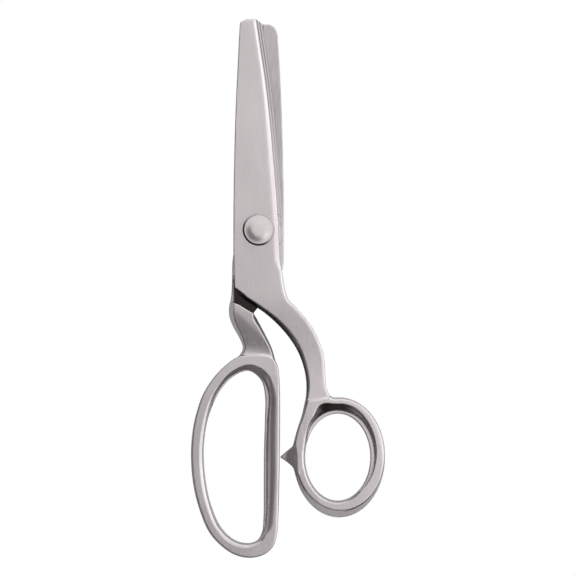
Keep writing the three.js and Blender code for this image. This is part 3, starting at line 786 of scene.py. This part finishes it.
def turned_piece(name, profile, steps=96, bevel=0.12, painted_shade_of=None):
    """A solid of revolution about the pivot axis from a closed [radius, z] profile."""
    points, rows = [], []
    for radius, z in profile:
        if radius == 0:
            rows.append([len(points)] * steps)
            points.append((0, 0, z))
            continue
        rows.append(list(range(len(points), len(points) + steps)))
        for i in range(steps):
            angle = 2 * math.pi * i / steps
            points.append((radius * math.cos(angle), radius * math.sin(angle), z))
    closed = profile[0][0] != 0
    pairs = list(zip(rows, rows[1:] + rows[:1])) if closed else list(zip(rows, rows[1:]))
    faces = []
    for lower, upper in pairs:
        for i in range(steps):
            j = (i + 1) % steps
            face = [lower[i], lower[j], upper[j], upper[i]]
            faces.append(list(dict.fromkeys(face)))
    # Painted shade on each point, from the given function.
    painted_shade = [painted_shade_of(*point) for point in points] if painted_shade_of else None
    return new_piece(name, points, [f for f in faces if len(f) > 2], bevel, painted_shade)


def pivot_screw():
    """Domed head with a small flat in the middle and a wider skirt, shoulder and threaded end."""
    end = REST_LEVEL + 0.3
    flat = 2.2
    rim = HEAD_SEAT + HEAD_HEIGHT - DOME_HEIGHT
    crown = HEAD_SEAT + HEAD_HEIGHT
    dome = [
        (flat + (DOME_RADIUS - flat) * t, crown - DOME_HEIGHT * (t - math.sin(2 * math.pi * t) / 12))
        for t in np.linspace(1, 0, 24)
    ]
    thread = []
    pitch = 1.0
    z = end + 0.5
    while z + pitch < NUT_TOP:
        thread += [(THREAD_RADIUS - 0.35, z), (THREAD_RADIUS, z + pitch / 2)]
        z += pitch
    return turned_piece("pivot_screw_finished", [
        (0, end), (THREAD_RADIUS - 0.5, end), *thread, (THREAD_RADIUS - 0.1, NUT_TOP),
        (THREAD_RADIUS - 0.1, WASHER_TOP + 0.2), (SCREW_RADIUS, WASHER_TOP + 0.2),
        (SCREW_RADIUS, HEAD_SEAT), (HEAD_RADIUS - 0.2, HEAD_SEAT), (HEAD_RADIUS, HEAD_SEAT + 0.15),
        (DOME_RADIUS + 0.05, rim - 0.5), (DOME_RADIUS + 0.04, rim - 0.2), *dome, (0, crown),
    ], bevel=0.06, painted_shade_of=skirt_painted_shadow)


def skirt_painted_shadow(x, y, _):
    """Painted shadow below the head's rim, on its lower left, the side away from the edge."""
    outside = ramp(math.hypot(x, y), DOME_RADIUS, DOME_RADIUS + 0.03)
    return float(outside * ramp(-(0.65 * x + 0.75 * y) / HEAD_RADIUS, -0.1, 0.5))


def washer(name, outer, inner, low, high):
    """A flat ring between two heights."""
    return turned_piece(name, [(inner, low), (outer, low), (outer, high), (inner, high)], bevel=0.12)


def spring_washer():
    """A split ring whose ends stand a little apart in height."""
    inner, outer = THREAD_RADIUS + FIT_GAP, SPRING_WASHER_RADIUS
    steps, gap, rise = 72, 0.13, 0.25
    thick = SPRING_WASHER_THICKNESS - rise
    points = []
    for i in range(steps + 1):
        t = i / steps
        angle = gap + (2 * math.pi - 2 * gap) * t
        low = SPRING_TOP - SPRING_WASHER_THICKNESS + rise * t
        for radius, z in ((inner, low), (outer, low), (outer, low + thick), (inner, low + thick)):
            points.append((radius * math.cos(angle), radius * math.sin(angle), z))
    faces = [[0, 1, 2, 3], [4 * steps + k for k in (3, 2, 1, 0)]]
    for i in range(steps):
        for k in range(4):
            a, b = 4 * i + k, 4 * i + (k + 1) % 4
            faces.append([a, b, b + 4, a + 4])
    return new_piece("spring_washer_finished", points, faces, bevel=0.1)


def pivot_nut():
    """Hexagon nut with its outer corners turned off to a cone on the open side."""
    steps = 96
    bore = THREAD_RADIUS + FIT_GAP
    flat = NUT_ACROSS_FLATS / 2
    angles = [2 * math.pi * i / steps for i in range(steps)]
    hexagon = [flat / math.cos((a + math.pi / 6) % (math.pi / 3) - math.pi / 6) for a in angles]
    cone_slope = 0.58
    rings = [
        [(bore + 0.3, REST_LEVEL)] * steps,
        [(min(r, flat * 1.02), REST_LEVEL) for r in hexagon],
        [(r, REST_LEVEL + max(0.0, (r - flat) * cone_slope)) for r in hexagon],
        [(r, NUT_TOP) for r in hexagon],
        [(bore, NUT_TOP)] * steps,
        [(bore, REST_LEVEL + 0.3)] * steps,
    ]
    points = [
        (r * math.cos(a), r * math.sin(a), z) for ring in rings for (r, z), a in zip(ring, angles)
    ]
    faces = []
    for k in range(len(rings)):
        above = (k + 1) % len(rings)
        for i in range(steps):
            j = (i + 1) % steps
            faces.append([k * steps + i, k * steps + j, above * steps + j, above * steps + i])
    return new_piece("pivot_nut_finished", points, faces, bevel=0.07)


def tooth_wave(radius):
    """The teeth's zigzag, -1 to 1."""
    phase = ((radius - STRIP_FIRST_RADIUS) / TOOTH_PITCH) % 1
    return 4 * phase - 1 if phase < 0.5 else 3 - 4 * phase


def angle_on_line(radius, offset):
    """Where a line alongside the cutting edge crosses a circle about the pivot."""
    y = radius
    for _ in range(12):
        y = math.sqrt(max(radius ** 2 - (edge_x(y) + offset) ** 2, 0))
    return math.atan2(y, edge_x(y) + offset)


def strip_section(radius, direction):
    """The strip cut along a circle about the pivot: (offset from the edge line, z, painted shade)."""
    back = STRIP_LEDGE - STRIP_WIDTH + STRIP_TIP_NARROWING * float(ramp(radius, 74, 84))
    face = TOOTH_CLEARANCE + direction * TOOTH_HEIGHT * tooth_wave(radius)
    teeth = [(offset, face, 0.0) for offset in np.linspace(STRIP_LEDGE, back, 9)]
    shelf = STRIP_TOP - 0.5
    # Painted shade lines at the seam by the bevel, at the step and along the outer edge, darker
    # towards the tip.
    painted_line = 0.25 + 0.4 * float(ramp(radius, 30, 80))
    return teeth + [
        (back, STRIP_TOP, 0.0), (-0.1, STRIP_TOP, painted_line), (0.15, STRIP_TOP, painted_line),
        (0.35, STRIP_TOP, 0.0),
        (STRIP_STEP - 0.3, STRIP_TOP, 0.0), (STRIP_STEP - 0.1, STRIP_TOP - 0.05, painted_line),
        (STRIP_STEP + 0.1, shelf, painted_line), (STRIP_STEP + 0.35, shelf, 0.0),
        (STRIP_LEDGE - 0.2, shelf, 0.1), (STRIP_LEDGE, shelf - 0.15, 0.5),
    ]


def toothed_strip(name, tip, direction):
    """Strip with V teeth along arcs about the pivot; direction -1 is the lower strip."""
    radii = list(np.arange(STRIP_FIRST_RADIUS, tip - 2.4, TOOTH_PITCH / 2)) + [tip - 0.3]
    sections = [strip_section(radius, direction) for radius in radii]
    points, painted_shade = [], []
    for full_radius, section in zip(radii, sections):
        slant = TIP_SLANT if full_radius == radii[-1] else 0
        for offset, z, shade in section:
            radius = full_radius - slant * max(offset, 0)
            angle = angle_on_line(radius, offset)
            x, y = radius * math.cos(angle), radius * math.sin(angle)
            points.append((x * direction, y, z * direction))
            painted_shade.append(shade)
    count = len(sections[0])
    faces = []
    for first in range(0, (len(radii) - 1) * count, count):
        for i in range(count):
            j = (i + 1) % count
            faces.append([first + i, first + j, first + count + j, first + count + i])
    faces += [list(range(count)), list(range(len(points) - count, len(points)))]
    return new_piece(name, points, faces, bevel=0, painted_shade=painted_shade)


# ---- materials ----------------------------------------------------------------------------
class Nodes:
    """Short names for building one material's node tree."""

    def __init__(self, name):
        self.material = bpy.data.materials.new(name)
        self.material.use_nodes = True
        self.tree = self.material.node_tree
        self.shader = self.tree.nodes["Principled BSDF"]

    def add(self, kind, **settings):
        node = self.tree.nodes.new(kind)
        for key, value in settings.items():
            if key in node.inputs:
                node.inputs[key].default_value = value
            else:
                setattr(node, key.lower(), value)
        return node

    def link(self, source, target):
        self.tree.links.new(source, target)

    def streaks(self, scale, detail, lean=0):
        """Noise stretched by the scale along each axis, and leaned, in the object's own space."""
        place = self.add("ShaderNodeTexCoord")
        stretch = self.add("ShaderNodeMapping", vector_type="TEXTURE")
        scale = [1 / value for value in scale]
        stretch.inputs["Rotation"].default_value = (0, 0, math.radians(lean))
        stretch.inputs["Scale"].default_value = scale
        noise = self.add("ShaderNodeTexNoise", Scale=1.0, Detail=detail, Roughness=0.6)
        self.link(place.outputs["Object"], stretch.inputs["Vector"])
        self.link(stretch.outputs["Vector"], noise.inputs["Vector"])
        return noise.outputs["Fac"]

    def spread(self, value, low, high):
        """A noise value spread between two numbers."""
        new_range = self.add("ShaderNodeMapRange")
        # Most of a noise texture's values lie between 0.3 and 0.7.
        new_range.inputs["From Min"].default_value = 0.3
        new_range.inputs["From Max"].default_value = 0.7
        new_range.inputs["To Min"].default_value = low
        new_range.inputs["To Max"].default_value = high
        self.link(value, new_range.inputs["Value"])
        return new_range.outputs["Result"]

    def colours(self, value, dark, light):
        """A colour between two, by the value."""
        mix = self.add("ShaderNodeMix", data_type="RGBA")
        mix.inputs[6].default_value = (*dark, 1)
        mix.inputs[7].default_value = (*light, 1)
        self.link(value, mix.inputs[0])
        return mix.outputs[2]


# Near black of the painted shade, mixed into the steel's colour by the mesh attribute.
PAINTED_SHADE_COLOUR = (0.035, 0.030, 0.029, 1)


def brushed_steel(name, dark, light, roughness, grain, bump, lean=0):
    """Metal with fine lines one way, faint cloudy tone, uneven gloss and painted shade from the mesh
    attribute.
    """
    n = Nodes(name)
    n.shader.inputs["Metallic"].default_value = 1.0
    lines = n.streaks(grain, 4.0, lean)
    cloud = n.streaks((60, 35, 60), 2.0)
    both = n.add("ShaderNodeMath", operation="ADD")
    n.link(n.spread(lines, -0.25, 0.25), both.inputs[0])
    n.link(n.spread(cloud, 0.25, 0.75), both.inputs[1])
    # Painted shade: the mesh attribute mixes the colour towards near black.
    painted_shade_mask = n.add("ShaderNodeAttribute")
    painted_shade_mask.attribute_name = PAINTED_SHADE_ATTRIBUTE
    shaded_colour = n.add("ShaderNodeMix", data_type="RGBA")
    shaded_colour.inputs[7].default_value = PAINTED_SHADE_COLOUR
    n.link(painted_shade_mask.outputs["Fac"], shaded_colour.inputs[0])
    n.link(n.colours(both.outputs[0], dark, light), shaded_colour.inputs[6])
    n.link(shaded_colour.outputs[2], n.shader.inputs["Base Color"])
    n.link(n.spread(lines, *roughness), n.shader.inputs["Roughness"])
    relief = n.add("ShaderNodeBump", Strength=bump, Distance=0.00004)
    n.link(lines, relief.inputs["Height"])
    n.link(relief.outputs["Normal"], n.shader.inputs["Normal"])
    return n.material


def metals():
    """Each metal: two colours, range of roughness, grain along x, y and z, and relief."""
    return {
        "half": brushed_steel(
            "brushed_stainless", (0.53, 0.499, 0.508), (0.67, 0.631, 0.642), (0.27, 0.37),
            (2600, 110, 2600), 0.35),
        "ground": brushed_steel(
            "ground_inner_face", (0.38, 0.355, 0.36), (0.66, 0.615, 0.63), (0.28, 0.42),
            (1300, 60, 1300), 0.9, lean=-8.5),
        "tooth": brushed_steel(
            "milled_teeth", (0.56, 0.52, 0.53), (0.68, 0.635, 0.648), (0.3, 0.42),
            (900, 900, 900), 0.3),
        "screw": brushed_steel(
            "satin_screw", (0.64, 0.6, 0.61), (0.74, 0.695, 0.705), (0.26, 0.32),
            (700, 700, 700), 0.06),
        "bronze": brushed_steel(
            "turned_bronze", (0.42, 0.28, 0.13), (0.60, 0.42, 0.22), (0.3, 0.45),
            (900, 900, 900), 0.3),
    }


def finish_piece(piece, material, body, node):
    """Give a piece its material and its body, and hide the CAD node it stands for."""
    piece.data.materials.clear()
    piece.data.materials.append(material)
    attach(piece, body)
    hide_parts(node)


def ground_inner_face(piece, material, direction):
    """Give the hollow inner side of a half its own grinding lines."""
    piece.data.materials.append(material)
    for face in piece.data.polygons:
        middle = (np.array(face.center) - np.array(PIVOT)) / MM
        depth = middle[2] * direction
        in_hollow = middle[1] > HOLLOW_START and HALF_GAP + 0.05 < depth < STRIP_TOP + 0.1
        if in_hollow and abs(face.normal.z) > 0.8:
            face.material_index = 1


# ---- studio ---------------------------------------------------------------------------------
def floor():
    """A plain floor that the camera sees as white and that reflects as pale grey."""
    reach = 3.0
    corners = [(-reach, -reach, 0), (reach, -reach, 0), (reach, reach, 0), (-reach, reach, 0)]
    mesh = bpy.data.meshes.new("studio_floor")
    mesh.from_pydata(corners, [], [(0, 1, 2, 3)])
    sheet = bpy.data.objects.new("studio_floor", mesh)
    bpy.context.scene.collection.objects.link(sheet)
    n = Nodes("pale_floor")
    n.shader.inputs["Roughness"].default_value = 0.9
    n.shader.inputs["Base Color"].default_value = (0.8, 0.8, 0.8, 1)
    white = n.add("ShaderNodeEmission", Color=(1, 1, 1, 1), Strength=1.0)
    path = n.add("ShaderNodeLightPath")
    choose = n.add("ShaderNodeMixShader")
    out = n.tree.nodes["Material Output"]
    n.link(path.outputs["Is Camera Ray"], choose.inputs[0])
    n.link(n.shader.outputs[0], choose.inputs[1])
    n.link(white.outputs[0], choose.inputs[2])
    n.link(choose.outputs[0], out.inputs["Surface"])
    mesh.materials.append(n.material)


def soft_light(name, place, size, brightness, turn=None):
    """A soft box as bright all over as the number says, facing the object, or down and turned."""
    light = bpy.data.lights.new(name, "AREA")
    light.shape = "RECTANGLE"
    light.size, light.size_y = size
    light.energy = brightness * math.pi * size[0] * size[1]
    lamp = bpy.data.objects.new(name, light)
    lamp.location = place
    if turn is None:
        lamp.rotation_euler = (-Vector(place)).to_track_quat("-Z", "Y").to_euler()
    else:
        lamp.rotation_euler.z = math.radians(turn)
    lamp.visible_camera = False
    bpy.context.scene.collection.objects.link(lamp)


def studio_lights():
    """A faint warm surround, a key overhead, a small fill over the ring and two walls of light."""
    world = bpy.data.worlds.new("studio")
    world.use_nodes = True
    background = world.node_tree.nodes["Background"]
    background.inputs["Color"].default_value = (1, 0.95, 0.94, 1)
    background.inputs["Strength"].default_value = 0.2
    bpy.context.scene.world = world
    soft_light("key_above", (0.471, 0.471, 0.8), (1.6, 2.4), 0.78, turn=45)
    soft_light("ring_fill", (0.2, -0.16, 0.35), (0.25, 0.25), 0.6, turn=0)
    soft_light("right_wall", (0.9, 0.3, 0.4), (1.4, 0.8), 1.15)
    soft_light("back_wall", (0.1, 1.2, 0.45), (1.6, 0.9), 1.0)


def camera():
    """Far above with a long lens, as the shears are shown from straight above."""
    view_width = 0.2511
    distance = 2.6
    pivot_in_view = Vector((-0.0128, 0.0254))
    lens = bpy.data.cameras.new("camera")
    lens.sensor_width = 36
    lens.lens = lens.sensor_width * distance / view_width
    lens.clip_end = 20
    eye = bpy.data.objects.new("camera", lens)
    eye.location = (PIVOT.x - pivot_in_view.x, PIVOT.y - pivot_in_view.y, distance + PIVOT.z)
    bpy.context.scene.collection.objects.link(eye)
    bpy.context.scene.camera = eye
    bpy.context.scene.view_settings.view_transform = "Standard"


# ---- build ------------------------------------------------------------------------------------
def build():
    """All nine pieces: each on its body, in place of its CAD node."""
    steel = metals()
    upper = half_piece("upper_half_finished", "upper_half", upper_half_field, upper_painted_shade)
    finish_piece(upper, steel["half"], "upper", "upper_half")
    ground_inner_face(upper, steel["ground"], 1)
    lower = half_piece("lower_half_finished", "lower_half", lower_half_field, lower_painted_shade)
    finish_piece(lower, steel["half"], "lower", "lower_half")
    ground_inner_face(lower, steel["ground"], -1)

    upper_strip = toothed_strip("upper_strip_finished", UPPER_TIP, 1)
    finish_piece(upper_strip, steel["tooth"], "upper", "upper_toothed_strip")
    lower_strip = toothed_strip("lower_strip_finished", LOWER_TIP, -1)
    finish_piece(lower_strip, steel["tooth"], "lower", "lower_toothed_strip")

    finish_piece(pivot_screw(), steel["screw"], "lower", "pivot_screw")
    finish_piece(pivot_nut(), steel["screw"], "lower", "pivot_nut")
    finish_piece(spring_washer(), steel["screw"], "lower", "spring_washer")
    flat = washer("flat_washer_finished", FLAT_WASHER_RADIUS, THREAD_RADIUS + FIT_GAP,
                  WASHER_TOP - FLAT_WASHER_THICKNESS, WASHER_TOP)
    finish_piece(flat, steel["screw"], "lower", "flat_washer")
    bearing = washer("bearing_washer_finished", BEARING_RADIUS - BEARING_PLAY, SCREW_RADIUS + 0.06,
                     -BEARING_THICKNESS / 2, BEARING_THICKNESS / 2)
    finish_piece(bearing, steel["bronze"], "lower", "bearing_washer")


build()
floor()
studio_lights()
camera()
